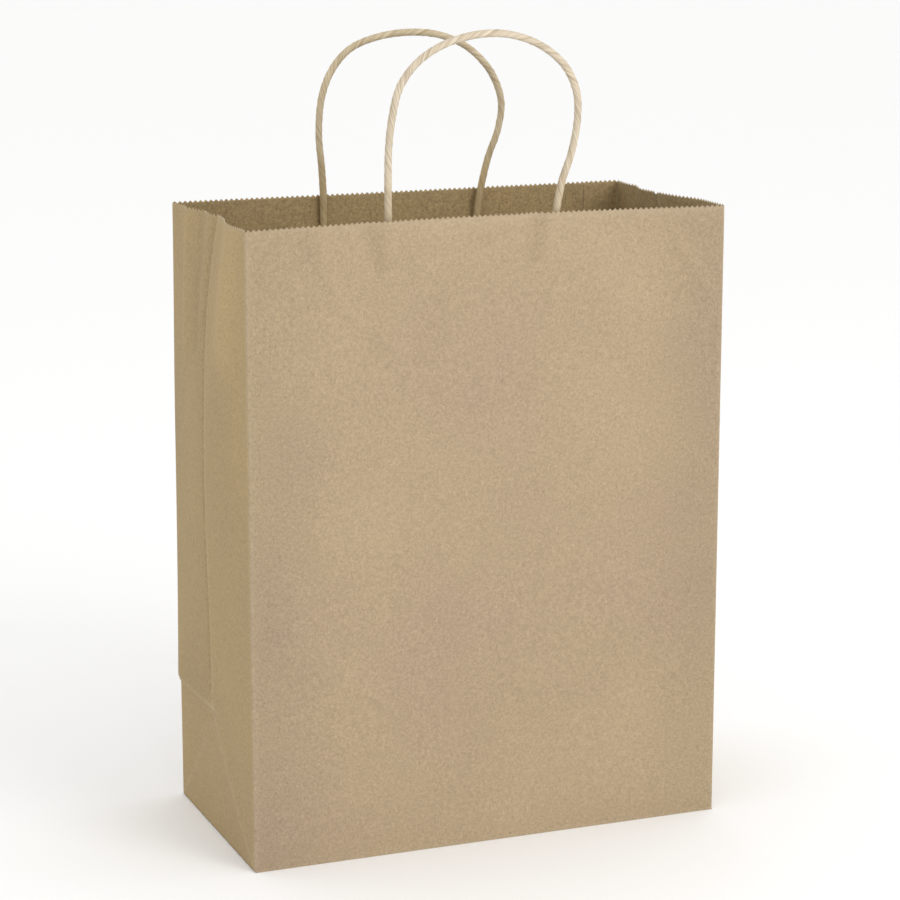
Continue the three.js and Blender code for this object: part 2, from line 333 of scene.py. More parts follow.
@dataclass(frozen=True)
class KraftFinish:
    """Unbleached kraft paper: cloudy pulp, fine fibres, a few dark shives, and paler worn creases."""

    name: str
    colour: Colour
    warm: Colour
    worn: Colour = (0.50, 0.40, 0.27)
    shive: Colour = (0.16, 0.105, 0.055)
    roughness: float = 0.88
    cloud: float = 0.07
    grain: float = 0.52
    grain_height: float = 0.00007
    cockle_height: float = 0.0007

    def build(self) -> Material:
        """Makes the material: pulp moved by clouds, fibres and painted shading, then the shives, then the
        wear.

        Returns:
            The material.
        """
        n = Nodes(self.name)
        at = n.where.outputs["Object"]
        clouds = n.noise(at, 11.0, 2.0, 0.45)
        patches = n.noise(at, 95.0, 3.0, 0.6)
        flecks = n.noise(at, 620.0, 2.0, 0.65)
        fibres = n.noise(n.spaced((1.0, 1.0, 0.6)), 1750.0, 2.0, 0.7)
        factor = n.combine(
            "ADD",
            n.remap(clouds, 0.25, 0.75, 1.0 - self.cloud / 2, 1.0 + self.cloud / 2),
            n.remap(patches, 0.25, 0.75, -self.cloud / 5, self.cloud / 5),
            n.remap(flecks, 0.25, 0.75, -self.grain / 4, self.grain / 4),
            n.remap(fibres, 0.25, 0.75, -self.grain / 3, self.grain / 3),
            # Painted shading from the sheet's stored values: painted shade where they are positive, painted
            # highlight where negative.
            n.remap(n.attribute("painted_shading"), -1.0, 1.0, 0.09, -0.09),
        )
        pulp = n.mixed(n.remap(clouds, 0.35, 0.65, 0.0, 0.8), self.colour, self.warm)
        pulp = n.brightened(pulp, factor)
        shives = n.noise(n.spaced((1.0, 1.0, 0.6)), 1000.0, 1.0, 0.3)
        pulp = n.mixed(n.remap(shives, 0.745, 0.80, 0.0, 0.4), pulp, self.shive)
        wear_and_painted_shading = n.remap(n.noise(at, 260.0), 0.3, 0.6, 0.35, 1.0)
        wear = n.combine("MULTIPLY", n.attribute("wear"), wear_and_painted_shading)
        n.feed(n.mixed(wear, pulp, self.worn), "Base Color")
        cockle = n.bumped(n.noise(at, 34.0, 2.0, 0.45), self.cockle_height)
        n.feed(n.bumped(n.combine("ADD", flecks, fibres), self.grain_height, cockle), "Normal")
        n.gloss(self.roughness, 0.22)
        n.feed(n.remap(flecks, 0.2, 0.8, self.roughness - 0.06, self.roughness + 0.08), "Roughness")
        return n.material


@dataclass(frozen=True)
class CordFinish:
    """Pale paper strip twisted into a cord. Its stripes read the cord's own map, so they follow the twist."""

    name: str
    colour: Colour
    pale: Colour
    shaded: Colour
    groove: Colour = (0.26, 0.175, 0.085)
    grain_height: float = 0.00012

    def build(self) -> Material:
        """Makes the material. U runs round the cord with the twist, and V along it.

        Returns:
            The material.
        """
        n = Nodes(self.name)
        streaks = n.noise(n.spaced((18.0, 3.0, 1.0), "UV"), 1.0, 3.0, 0.65)
        fine = n.noise(n.spaced((60.0, 14.0, 1.0), "UV"), 1.0, 2.0, 0.6)
        blotch = n.noise(n.where.outputs["Object"], 75.0, 2.0, 0.5)
        paper = n.mixed(n.remap(streaks, 0.36, 0.62, 0.0, 1.0), self.colour, self.pale)
        # Painted shade: the cord darkens towards the shaded colour down its legs, near and below the mouth.
        paper = n.mixed(n.attribute("painted_shading"), paper, self.shaded)
        uneven = n.remap(blotch, 0.3, 0.7, -0.06, 0.06)
        paper = n.brightened(paper, n.combine("ADD", n.remap(fine, 0.25, 0.75, 0.84, 1.10), uneven))
        # Painted shade in the grooves between the twisted ridges.
        n.feed(n.mixed(n.attribute("groove"), paper, self.groove), "Base Color")
        n.feed(n.bumped(n.combine("ADD", streaks, fine), self.grain_height), "Normal")
        n.gloss(0.8, 0.3)
        return n.material


@dataclass(frozen=True)
class CutEdgeFinish:
    """The pale, slightly furry edge where the paper was cut."""

    name: str = "cut_paper_edge"
    colour: Colour = (0.56, 0.46, 0.32)

    def build(self) -> Material:
        """Makes the material, with a faint fibre speckle.

        Returns:
            The material.
        """
        n = Nodes(self.name)
        speckle = n.noise(n.where.outputs["Object"], 1400.0, 2.0)
        darker = tuple(0.78 * c for c in self.colour)
        n.feed(n.mixed(n.remap(speckle, 0.3, 0.7, 0.0, 1.0), self.colour, darker), "Base Color")
        n.shader.inputs["Roughness"].default_value = 0.95
        return n.material


@dataclass(frozen=True)
class FloorFinish:
    """Plain pale studio paper."""

    name: str = "studio_floor"
    colour: Colour = (0.96, 0.96, 0.955)

    def build(self) -> Material:
        """Makes the plain material."""
        n = Nodes(self.name)
        n.shader.inputs["Base Color"].default_value = (*self.colour, 1.0)
        n.shader.inputs["Roughness"].default_value = 0.9
        return n.material


@dataclass(frozen=True)
class Finishes:
    """The bag's materials, each built once."""

    panel: Material
    side: Material
    patch: Material
    front_cord: Material
    shaded_rear_cord: Material
    edge: Material
    inside: Material

    def skins(self, outer: Material) -> Skins:
        """Materials of a sheet's outer skin, cut edge and inner skin."""
        return outer, self.edge, self.inside

    @classmethod
    def build(cls) -> "Finishes":
        """Builds every finish of the bag."""
        kinds = {
            "panel": KraftFinish("kraft_panel", (0.398, 0.299, 0.198), (0.402, 0.310, 0.191)),
            # The gusset's kraft is darker and more saturated than the panel's: painted shade of the sides.
            "side": KraftFinish("kraft_gusset_painted_shade", (0.375, 0.279, 0.150), (0.385, 0.285, 0.146)),
            "patch": KraftFinish("kraft_patch", (0.37, 0.275, 0.155), (0.385, 0.283, 0.155), cloud=0.06),
            # The inner skin's kraft is darker and more saturated: painted shade of the bag's inside. Its
            # stronger grain is the paper's own.
            "inside": KraftFinish("kraft_inside_painted_shade", (0.350, 0.257, 0.130), (0.365, 0.265, 0.130), grain=0.95),
            "front_cord": CordFinish(
                "front_cord_paper", (0.50, 0.40, 0.275), (0.76, 0.67, 0.53), (0.46, 0.35, 0.21)
            ),
            # The rear cord is a darker copy of the front cord's paper: painted shade.
            "shaded_rear_cord": CordFinish(
                "shaded_rear_cord_paper", (0.43, 0.335, 0.195), (0.66, 0.56, 0.40), (0.43, 0.31, 0.14)
            ),
            "edge": CutEdgeFinish(),
        }
        return cls(**{use: finish.build() for use, finish in kinds.items()})


# ------------------------------------------------------------------ sheets of paper


@dataclass(frozen=True)
class Paper:
    """The paper itself."""

    thickness: float = 0.22 * MM

    def piece(
        self,
        name: str,
        points: Grid,
        finishes: Skins,
        wear: Grid | None = None,
        painted_shading: Grid | None = None,
    ) -> Piece:
        """A closed thin solid round a grid surface.

        Each grid point is moved half the thickness to either side along the surface's normal, which is
        the cross product of the steps along a row and along a column, and a rim joins the two skins.

        Args:
            name: The piece's name.
            points: Rows by columns by 3, with the outside where row step cross column step points.
            finishes: Materials of the outer skin, the rim and the inner skin.
            wear: Rows by columns, from 0 to 1, how worn the paper is.
            painted_shading: Rows by columns, from -1 to 1, painted shade where it is positive and painted
                highlight where it is negative.

        Returns:
            The piece, at the origin.
        """
        rows, cols = points.shape[:2]
        normal = np.cross(np.gradient(points, axis=1), np.gradient(points, axis=0))
        normal /= np.maximum(np.linalg.norm(normal, axis=2, keepdims=True), 1e-12)
        half = normal * self.thickness / 2
        skins = np.concatenate([(points + half).reshape(-1, 3), (points - half).reshape(-1, 3)])
        index = np.arange(rows * cols).reshape(rows, cols)
        low, high = index[:-1], index[1:]
        outer = np.stack([low[:, :-1], low[:, 1:], high[:, 1:], high[:, :-1]], axis=-1).reshape(-1, 4)
        inner = outer[:, ::-1] + rows * cols
        loop = np.concatenate([index[0, :-1], index[:-1, -1], index[-1, :0:-1], index[:0:-1, 0]])
        following = np.roll(loop, -1)
        rim = np.stack([loop + rows * cols, following + rows * cols, following, loop], axis=-1)
        faces = np.concatenate([outer, inner, rim])
        mesh = bpy.data.meshes.new(name)
        mesh.from_pydata(skins.tolist(), [], faces.tolist())
        material = np.repeat([0, 2, 1], [len(outer), len(inner), len(rim)])
        mesh.polygons.foreach_set("use_smooth", material != 1)
        mesh.polygons.foreach_set("material_index", material.astype(np.int32))
        for label, values in (("wear", wear), ("painted_shading", painted_shading)):
            stored = np.zeros((rows, cols)) if values is None else values
            store(mesh, label, np.tile(stored.ravel(), 2))
        for finish in finishes:
            mesh.materials.append(finish)
        mesh.update()
        return placed(name, mesh)


@dataclass(frozen=True)
class SoftCrease:
    """A handling crease: a soft ridge or valley along a line on a sheet."""

    start: tuple[float, float]
    end: tuple[float, float]
    height: float
    width: float

    def lift(self, u: Grid, v: Grid) -> Grid:
        """Height of the crease: height times exp(-(distance to the line / width)^2).

        Args:
            u: First coordinate of the sheet, in metres.
            v: Second coordinate of the sheet, in metres.

        Returns:
            How far the paper is lifted outwards, in metres.
        """
        a, b = np.array(self.start), np.array(self.end)
        along = b - a
        t = np.clip(((u - a[0]) * along[0] + (v - a[1]) * along[1]) / (along @ along), 0.0, 1.0)
        distance = np.hypot(u - a[0] - t * along[0], v - a[1] - t * along[1])
        return self.height * bell(distance, self.width)


def wear_and_painted_shading(creases: tuple[SoftCrease, ...], u: Grid, v: Grid) -> Grid:
    """Painted highlight on the ridges and painted shade in the valleys, in proportion to their height."""
    return sum(crease.lift(u, v) for crease in creases) / (2.4 * MM)


def soft_creases(*rows: tuple[float, ...]) -> tuple[SoftCrease, ...]:
    """Handling creases from rows of start, end, height and width, all in millimetres."""
    return tuple(SoftCrease((a * MM, b * MM), (c * MM, d * MM), h * MM, w * MM) for a, b, c, d, h, w in rows)


@dataclass(frozen=True)
class BagSizes:
    """Sizes that the sheets share, read from the frame."""

    half_width: float
    half_depth: float
    panel_y: float
    side_x: float
    fold_z: float
    front_mouth: float
    back_mouth: float
    base_z: float = 0.35 * MM
    corner_radius: float = 1.0 * MM
    tooth_pitch: float = 2.8 * MM
    tooth_depth: float = 1.2 * MM
    front_lift: float = 1.6 * MM
    front_tilt: float = 0.6 * MM
    front_bow: float = 0.9 * MM
    back_tilt: float = 0.5 * MM
    left_jog: float = 1.6 * MM
    right_jog: float = 0.9 * MM
    left_drawn_in: float = 0.9 * MM
    jog_length: float = 0.07

    @classmethod
    def from_frame(cls) -> "BagSizes":
        """Reads the crease lines from the joints and the planes of the sheets from the nodes.

        Returns:
            The sizes.
        """
        at = {joint["name"]: joint["pos_m"] for joint in frame["joints"]}
        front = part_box("front_panel")
        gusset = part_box("right_gusset_rear")
        return cls(
            half_width=abs(at["fold"][0]),
            half_depth=abs(at["fold"][1]),
            panel_y=-(front[0].y + front[1].y) / 2,
            side_x=(gusset[0].x + gusset[1].x) / 2,
            fold_z=at["back_crease"][2],
            front_mouth=front[1].z,
            back_mouth=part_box("back_panel")[1].z,
        )

    def mouth(self, face: Face) -> float:
        """Height of the tips of the saw teeth on one face."""
        return self.front_mouth if face is Face.FRONT else self.back_mouth

    def tips(self, face: Face, x: Grid) -> Grid:
        """Height of the tips across a face. Both are cut a little out of square, and the front bows up.

        The tilt is straight, and the bow is a cosine across the width.

        Args:
            face: Which face.
            x: Position across.

        Returns:
            The heights.
        """
        across = x / self.half_width
        if face is Face.BACK:
            return self.back_mouth - self.back_tilt * (1.0 - across)
        straight = self.front_mouth + self.front_lift + self.front_tilt * across
        return straight + self.front_bow * np.cos(across * math.pi / 2)

    def saw(self, along: Grid, low: float, high: float) -> Grid:
        """Drop of the cut edge below the tips: a triangle wave with whole teeth between the two ends.

        Args:
            along: Position along the edge.
            low: One end of the edge.
            high: The other end.

        Returns:
            The drop, from 0 at a tip to the tooth depth at a valley.
        """
        teeth = max(1, round((high - low) / self.tooth_pitch))
        phase = np.mod((along - low) / (high - low) * teeth, 1.0)
        return self.tooth_depth * np.abs(2.0 * phase - 1.0)

    def columns(self, low: float, high: float) -> Grid:
        """Grid lines across a sheet: one at each tip and valley, and a few close ones at both corners.

        Args:
            low: One end.
            high: The other end.

        Returns:
            Sorted positions.
        """
        teeth = max(1, round((high - low) / self.tooth_pitch))
        near = np.array([0.08, 0.22, 0.42, 0.68, 1.0]) * self.corner_radius
        even = np.linspace(low, high, 2 * teeth + 1)
        return np.unique(np.concatenate([even, low + near, high - near]).round(8))

    def rows(self, step: float = 3.0 * MM) -> Grid:
        """Grid lines up a sheet, as shares of its height, close together at the foot and at the mouth.

        Args:
            step: The spacing between, in metres.

        Returns:
            Shares from 0 to 1.
        """
        height = self.back_mouth
        foot = np.array([0.0, 0.15, 0.35, 0.6, 1.0, 1.8]) * MM
        top = height - np.array([2.6, 1.7, 0.0]) * MM
        middle = np.linspace(3.2 * MM, height - 5.0 * MM, round(height / step))
        fold = self.fold_z + np.array([-1.4, -0.7, -0.2, 0.3, 0.9, 1.6, 2.4, 3.3]) * MM
        middle = middle[np.abs(middle - self.fold_z - 1.0 * MM) > 3.4 * MM]
        return np.unique(np.concatenate([foot, middle, fold, top])) / height

    def corner_rise(self, distance: Grid, full: float) -> Grid:
        """A rounded corner: full times the square root of 1 - (1 - distance / radius)^2.

        Args:
            distance: Distance from the corner crease.
            full: How far the flat of the sheet stands outside the crease.

        Returns:
            How far the sheet stands outside the crease.
        """
        t = np.clip(distance / self.corner_radius, 0.0, 1.0)
        return full * np.sqrt(1.0 - (1.0 - t) ** 2)

    def corner_jog(self, side: Side, z: Grid) -> Grid:
        """How far a rear corner bulges sideways just above the crease that folds the bottom up.

        It steps out over a few millimetres at the crease and dies away upwards. The left corner is also
        drawn in towards the mouth.

        Args:
            side: Which side.
            z: Height.

        Returns:
            The bulge, in metres.
        """
        rise = smoothstep(z, self.fold_z - 0.4 * MM, self.fold_z + 3.2 * MM)
        rise = rise * fading(z - self.fold_z, self.jog_length)
        if side is Side.RIGHT:
            return self.right_jog * rise
        return self.left_jog * rise - self.left_drawn_in * smoothstep(z, 0.20, self.back_mouth)


# ------------------------------------------------------------------ sub-assemblies


@dataclass
class FacePanel:
    """One big face of the bag, with its handling creases and its glued handle pressing through."""

    sizes: BagSizes
    paper: Paper
    face: Face
    leg_x: tuple[float, float]
    lean: float
    belly: float
    seed: int
    creases: tuple[SoftCrease, ...] = ()
    patch_half_width: float = 75.0 * MM
    patch_top: float = 19.0 * MM
    patch_height: float = 42.0 * MM
    cord_press: float = 0.85 * MM
    patch_rise: float = 0.10 * MM
    patch_edge: float = 1.2 * MM
    lean_reach: float = 0.075
    lap_lift: float = 6.8 * MM
    lap_gap: float = 0.3 * MM
    foot_tuck: float = 0.55 * MM
    bend: float = 1.0 * MM

    def shift(self, x: Grid, z: Grid) -> Grid:
        """How far the face and what is glued to it lean towards the inside.

        It is the lean at the middle of the mouth, falls to nothing at the corners as a cosine, dies away
        downwards as an exponential, and dies away above the mouth along the handle.

        Args:
            x: Position across.
            z: Height.

        Returns:
            Metres towards the inside.
        """
        mouth = self.sizes.mouth(self.face)
        across = np.cos(np.clip(x / self.sizes.half_width, -1.0, 1.0) * math.pi / 2)
        below = fading(mouth - z, self.lean_reach)
        above = 1.0 - smoothstep(z, mouth, mouth + self.lean_reach)
        return self.lean * across * below * above

    def outward(self, x: Grid, z: Grid) -> Grid:
        """How far the sheet stands outside its corner creases.

        The sum of the rounded corners, a belly that is a product of sines, a faint swell, the patch and the
        cord ends that show through, and the handling creases, less the lean. All but the first are zero at
        the corner creases.

        Args:
            x: Position across.
            z: Height.

        Returns:
            Metres outwards.
        """
        s = self.sizes
        mouth = s.mouth(self.face)
        edge = s.half_width - np.abs(x)
        inside = smoothstep(edge, 0.0, 14.0 * MM)
        foot = smoothstep(z, 0.0, 20.0 * MM)
        out = s.corner_rise(edge, s.panel_y - s.half_depth)
        belly = self.belly * np.sin(math.pi * np.clip(z / mouth, 0, 1))
        out = out + belly * np.cos(x / s.half_width * math.pi / 2)
        broad, short = ripple(x, z, self.seed, 0.16), ripple(x, z, self.seed + 1, 0.045)
        out = out + inside * foot * (0.55 * MM * broad + 0.16 * MM * short)
        depth, edge_low = mouth - z, self.patch_top + self.patch_height
        beside = self.patch_half_width - np.abs(x - sum(self.leg_x) / 2)
        in_patch = self.patch_rise
        for distance in (beside, depth - self.patch_top, edge_low - depth):
            in_patch = in_patch * smoothstep(distance, -self.patch_edge, self.patch_edge)
        out = out + in_patch
        reach = 1.0 - 0.85 * smoothstep(depth, 6.0 * MM, 26.0 * MM)
        reach = reach * (1.0 - smoothstep(depth, edge_low, 70.0 * MM))
        for leg in self.leg_x:
            out = out + self.cord_press * bell(x - leg + 2.0 * MM, 3.4 * MM) * reach
        for crease in self.creases:
            out = out + 1.5 * inside * crease.lift(x, z)
        return out - self.shift(x, z)

    def wear(self, x: Grid, z: Grid) -> Grid:
        """Wear along the corner creases, the mouth, the foot and the back's fold, fading with the distance.

        Args:
            x: Position across.
            z: Height.

        Returns:
            The wear, from 0 to 1.
        """
        edge = self.sizes.half_width - np.abs(x)
        depth = self.sizes.mouth(self.face) - z
        worn = 0.55 * fading(edge, 0.9 * MM) + 0.30 * fading(depth, 1.6 * MM) + 0.35 * fading(z, 0.8 * MM)
        if self.face is Face.BACK:
            worn = worn + 0.4 * fading(np.abs(z - self.sizes.fold_z), 0.8 * MM)
        return np.clip(worn, 0.0, 1.0)

    def painted_shading(self, x: Grid, z: Grid) -> Grid:
        """Painted shading: painted shade where it is positive and painted highlight where it is negative.

        The painted shade is 1 at a corner crease and 0 from 55 mm inwards. Each handling crease gets a
        painted highlight on its ridge and painted shade in its valley, in proportion to its height.

        Args:
            x: Position across.
            z: Height.

        Returns:
            The tone, from -1 to 1.
        """
        # Painted shade that deepens towards the corner creases.
        painted_corner_shade = 1.0 - smoothstep(self.sizes.half_width - np.abs(x), 0.0, 55.0 * MM)
        return np.clip(painted_corner_shade - wear_and_painted_shading(self.creases, x, z), -1.0, 1.0)

    def grid(self, low: float, high: float, inset: float = 0.0) -> tuple[Grid, Grid]:
        """Grid of the sheet between two positions across.

        Args:
            low: Where it starts.
            high: Where it ends.
            inset: How far it lies inside the face's own sheet.

        Returns:
            The points and the wear.
        """
        s = self.sizes
        x, share = np.meshgrid(s.columns(low, high), s.rows())
        top = s.tips(self.face, x) - s.saw(x, low, high) * (share > TOP_ROW)
        foot = s.base_z + (self.lap_lift if inset > 0.0 else 0.0)
        z = foot + (top - foot) * share
        y = self.face.value * (s.half_depth + self.outward(x, z) - inset)
        tuck = self.foot_tuck * (1.0 - smoothstep(z, s.base_z, s.base_z + 1.0 * MM))
        y = y - self.face.value * tuck
        wide = x
        if self.face is Face.BACK:
            left = s.corner_jog(Side.LEFT, z) * smoothstep(-x, 0.0, s.half_width)
            right = s.corner_jog(Side.RIGHT, z) * smoothstep(x, 0.0, s.half_width)
            wide = x - left + right
        points = np.stack([wide, y, z], axis=-1)
        worn = self.wear(x, z)
        if self.face is Face.BACK:
            points, worn = points[:, ::-1], worn[:, ::-1]
        return points, worn

    def build(self, finishes: Finishes) -> list[Piece]:
        """Builds the face's sheet, and on the back the glued seam inside it.

        Args:
            finishes: The bag's materials.

        Returns:
            The pieces.
        """
        s = self.sizes
        points, worn = self.grid(-s.half_width, s.half_width)
        skins = finishes.skins(finishes.panel)
        painted_shading = self.painted_shading(points[..., 0], points[..., 2])
        sheet = self.paper.piece(f"{self.face.name.lower()}_sheet", points, skins, worn, painted_shading)
        if self.face is Face.FRONT:
            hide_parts("front_panel")
            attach(sheet, "front")
            return [sheet]
        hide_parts("back_panel", "back_panel_lower")
        inset = self.paper.thickness * 1.3
        points, worn = self.grid(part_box("seam_lap")[0].x, s.half_width - self.lap_gap, inset)
        lap = self.paper.piece("seam_lap_sheet", points, skins, worn * 0.3)
        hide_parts("seam_lap", "seam_lap_lower")
        for piece in (sheet, lap):
            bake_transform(piece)
        return [sheet, lap]


@dataclass
class SideGusset:
    """One gusseted side: the sheet above the slanting creases, and the two triangles at its foot."""

    sizes: BagSizes
    paper: Paper
    side: Side
    pinch: float
    pinch_fall: float
    belly: float
    seed: int
    creases: tuple[SoftCrease, ...] = ()
    crease_ridge: float = 0.40 * MM
    crease_groove: float = 0.75 * MM
    slant_rise: float = 1.1 * MM
    slant_dip: float = 0.35 * MM
    fold_bulge: float = 1.5 * MM
    fold_dent: float = 0.5 * MM
    bend: float = 1.6 * MM
    blunt: float = 0.004
    bottom_turn: float = 79.3  # Degrees that the bottom has turned by when the bag is folded.

    def above_slant(self, y: Grid, z: Grid) -> Grid:
        """Height above the slanting creases, which climb from the bottom's corners to the fold."""
        s = self.sizes
        return z - s.base_z - (s.half_depth - np.abs(y)) * (s.fold_z - s.base_z) / s.half_depth

    def inward(self, y: Grid, z: Grid) -> Grid:
        """How far the side lies inside its corner creases.

        The centre crease is pinched in at the mouth, as a tent across the side that dies away downwards, and
        bellies out lower down. The centre crease's ridge and groove, the slanting creases, the bulge and dent
        at the fold on the rear half, and a faint swell are added.

        Args:
            y: Position from front to back.
            z: Height.

        Returns:
            Metres inwards.
        """
        s = self.sizes
        edge, above = s.half_depth - np.abs(y), z - s.fold_z
        inside = smoothstep(edge, 0.0, 10.0 * MM) * smoothstep(z, 0.0, 20.0 * MM)
        tent = np.clip(1.0 - np.abs(y) / s.half_depth, 0.0, 1.0)
        result = self.pinch * tent * fading(s.back_mouth - z, self.pinch_fall)
        height = np.clip(above / (s.back_mouth - s.fold_z), 0.0, 1.0)
        result = result - self.belly * np.sin(math.pi * height) * np.cos(y / s.half_depth * math.pi / 2)
        result = result - s.corner_rise(edge, s.side_x - s.half_width)
        result = result + 0.35 * MM * inside * ripple(y, z, self.seed, 0.11)
        pressed = smoothstep(above, 0.0, 30.0 * MM)
        result = result - pressed * self.crease_ridge * bell(y, 1.0 * MM)
        result = result + pressed * self.crease_groove * bell(y - 2.6 * MM, 1.8 * MM)
        result = result - s.corner_jog(self.side, z) * smoothstep(y, -4.0 * MM, s.half_depth * 0.8)
        slant = fading(np.abs(self.above_slant(y, z)), 9.0 * MM) * inside
        slant = slant * smoothstep(6.0 * MM - above, 0.0, 12.0 * MM)
        result = result - np.where(y < 0, self.slant_rise, -self.slant_dip) * slant
        bulge = smoothstep(above, -0.6 * MM, 3.0 * MM) * fading(above, 0.020)
        dent = fading(-above, 0.012) * (above < 0)
        rear_half = smoothstep(y, -14.0 * MM, 8.0 * MM) * inside
        result = result - rear_half * (self.fold_bulge * bulge - self.fold_dent * dent)
        for crease in self.creases:
            result = result - inside * crease.lift(y, z)
        return result

    def wear(self, y: Grid, z: Grid) -> Grid:
        """Wear along the corners, the centre crease, the slanting creases, the mouth and the fold, where it
        is also a painted highlight.

        Args:
            y: Position from front to back.
            z: Height.

        Returns:
            The wear, from 0 to 1.
        """
        s = self.sizes
        edge = s.half_depth - np.abs(y)
        depth = np.where(y < 0, s.front_mouth, s.back_mouth) - z
        slant = np.abs(self.above_slant(y, z)) / math.sqrt(2)
        level = np.abs(z - s.fold_z - 1.6 * MM)
        worn = 0.5 * fading(edge, 0.9 * MM) + 0.25 * fading(depth, 1.6 * MM) + 0.38 * fading(slant, 0.8 * MM)
        worn = worn + 0.55 * fading(np.abs(y), 0.7 * MM) * (z > s.fold_z)
        # Wear along the crease just above the fold, made strong enough to also paint the highlight of the
        # ridge there.
        worn = worn + 0.75 * fading(level, 1.3 * MM) * smoothstep(y, -8.0 * MM, 2.0 * MM)
        return np.clip(worn, 0.0, 1.0)

    def painted_shading(self, y: Grid, z: Grid) -> Grid:
        """Painted shading: painted shade in the groove behind the centre crease, and above the folded foot.

        Both fall away as exponentials of the distance. The paper in front of the centre crease gets a painted
        highlight, and the handling creases get painted highlights on their ridges and painted shade in their
        valleys.

        Args:
            y: Position from front to back.
            z: Height.

        Returns:
            The tone, from -1 to 1.
        """
        above = z - self.sizes.fold_z
        # Painted shade behind the centre crease and above the fold, painted highlight in front of the crease.
        behind = fading(y - 1.0 * MM, 9.0 * MM) * (y > 0.8 * MM)
        before = fading(-y, 6.0 * MM) * (y <= 0.8 * MM)
        shade = (behind - 0.55 * before) * smoothstep(above, 0.0, 25.0 * MM)
        over = smoothstep(above, 2.5 * MM, 5.0 * MM) * fading(above, 13.0 * MM)
        shade = shade + 0.9 * over * smoothstep(y, -6.0 * MM, 10.0 * MM)
        return np.clip(shade - wear_and_painted_shading(self.creases, y, z), -1.0, 1.0)

    def place(self, y: Grid, z: Grid) -> tuple[Grid, Grid, Grid]:
        """Puts a grid of side positions on the side's surface, facing outwards.

        Args:
            y: Positions from front to back, in rows and columns.
            z: Heights.

        Returns:
            The points, the wear and the tone.
        """
        x = self.side.value * (self.sizes.half_width - self.inward(y, z))
        points = np.stack([x, y, z], axis=-1)
        worn, painted_shading = self.wear(y, z), self.painted_shading(y, z)
        if self.side is Side.LEFT:
            return points[:, ::-1], worn[:, ::-1], painted_shading[:, ::-1]
        return points, worn, painted_shading

    def main_sheet(self, finishes: Finishes) -> Piece:
        """The gusset above the slanting creases, one sheet that bends at the centre crease.

        Its foot runs level at the fold on the rear half, and down the slanting crease on the front half.

        Args:
            finishes: The bag's materials.

        Returns:
            The piece.
        """
        s = self.sizes
        centre = np.array([-2.0, -1.3, -0.8, -0.4, 0.4, 0.8, 1.3, 2.0, 2.4, 3.2, 3.9, 5.0]) * MM
        across = np.unique(np.concatenate([s.columns(-s.half_depth, s.half_depth), centre]).round(8))
        y, share = np.meshgrid(across, s.rows())
        slope = (s.fold_z - s.base_z) / s.half_depth
        foot = np.where(y < 0, s.base_z + (y + s.half_depth) * slope, s.fold_z)
        x = self.side.value * s.half_width
        front, rear = (float(s.tips(face, np.array(x))) for face in Face)
        tips = front + (rear - front) * smoothstep(y, -1.5 * MM, 1.5 * MM)
        top = tips - s.saw(y, -s.half_depth, s.half_depth) * (share > TOP_ROW)
        points, worn, painted_shading = self.place(y, foot + (top - foot) * share)
        name = self.side.name.lower()
        sheet = self.paper.piece(f"{name}_gusset_sheet", points, finishes.skins(finishes.side), worn, painted_shading)
        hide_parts(f"{name}_gusset_rear", f"{name}_gusset_front")
        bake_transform(sheet)
        return sheet

    def triangle(self, finishes: Finishes, rear: bool) -> Piece:
        """One triangle at the foot, on a grid that narrows to a blunt point.

        The bottom triangle stands on the side edge of the bottom, and each of its rows is narrower than the
        one below. The rear triangle hangs on the lower back panel's edge, and each row up is longer.

        Args:
            finishes: The bag's materials.
            rear: True for the rear triangle.

        Returns:
            The piece.
        """
        s = self.sizes
        share, along = np.meshgrid(np.linspace(0.0, 1.0, 47), np.linspace(0.0, 1.0, 45))
        z = s.base_z + (s.fold_z - s.base_z) * along
        if rear:
            y = s.half_depth - (1.0 - share) * np.maximum(along, self.blunt) * s.half_depth
        else:
            y = s.half_depth * (2.0 * share - 1.0) * np.maximum(1.0 - along, self.blunt)
        points, worn, painted_shading = self.place(y, z)
        name = f"{self.side.name.lower()}_{'rear' if rear else 'bottom'}"
        piece = self.paper.piece(f"{name}_corner_sheet", points, finishes.skins(finishes.side), worn, painted_shading)
        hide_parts(f"{name}_triangle")
        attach(piece, "rear_fold" if rear else "bottom")
        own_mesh(piece)
        return piece

    def build(self, finishes: Finishes) -> list[Piece]:
        """Builds the side's sheet and its two triangles."""
        return [self.main_sheet(finishes), self.triangle(finishes, False), self.triangle(finishes, True)]


